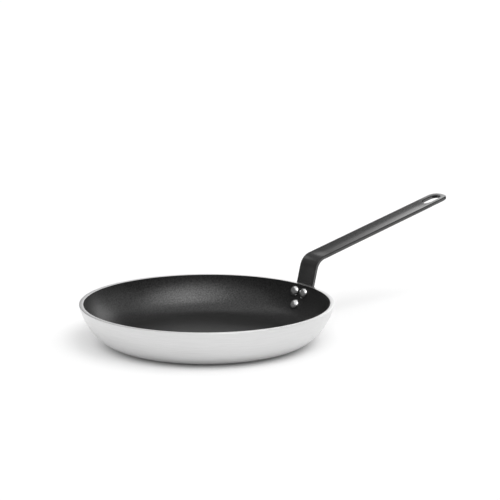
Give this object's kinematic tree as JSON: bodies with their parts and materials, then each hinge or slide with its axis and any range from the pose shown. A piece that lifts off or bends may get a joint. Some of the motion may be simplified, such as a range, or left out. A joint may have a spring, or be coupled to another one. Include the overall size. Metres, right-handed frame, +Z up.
{
  "type": "frying pan",
  "caption": "Round frying pan with a thick aluminium body, curved side, dark non-stick lining and a long riveted strip-steel handle with a hanging slot.",
  "frame": {"origin": "middle of the flat underside of the base, on the pan's axis", "axes": "+Z up along the pan's axis, +X out along the handle, +Y to the left of the handle as seen from inside the pan"},
  "size_m": [0.4959, 0.28, 0.1235],
  "materials": {
    "bare_aluminium": "satin, brushed in rings round the pan's axis, with a bright flat rim",
    "nonstick_coating": "satin black film with a fine pebbled grain",
    "black_steel": "satin black coat on strip steel",
    "rivet_metal": "polished domes"
  },
  "bodies": {
    "root": {"pan_body": "bare_aluminium", "nonstick_coating": "nonstick_coating", "handle": "black_steel", "rivet_upper_left": "rivet_metal", "rivet_upper_right": "rivet_metal", "rivet_lower": "rivet_metal"}
  },
  "joints": []
}
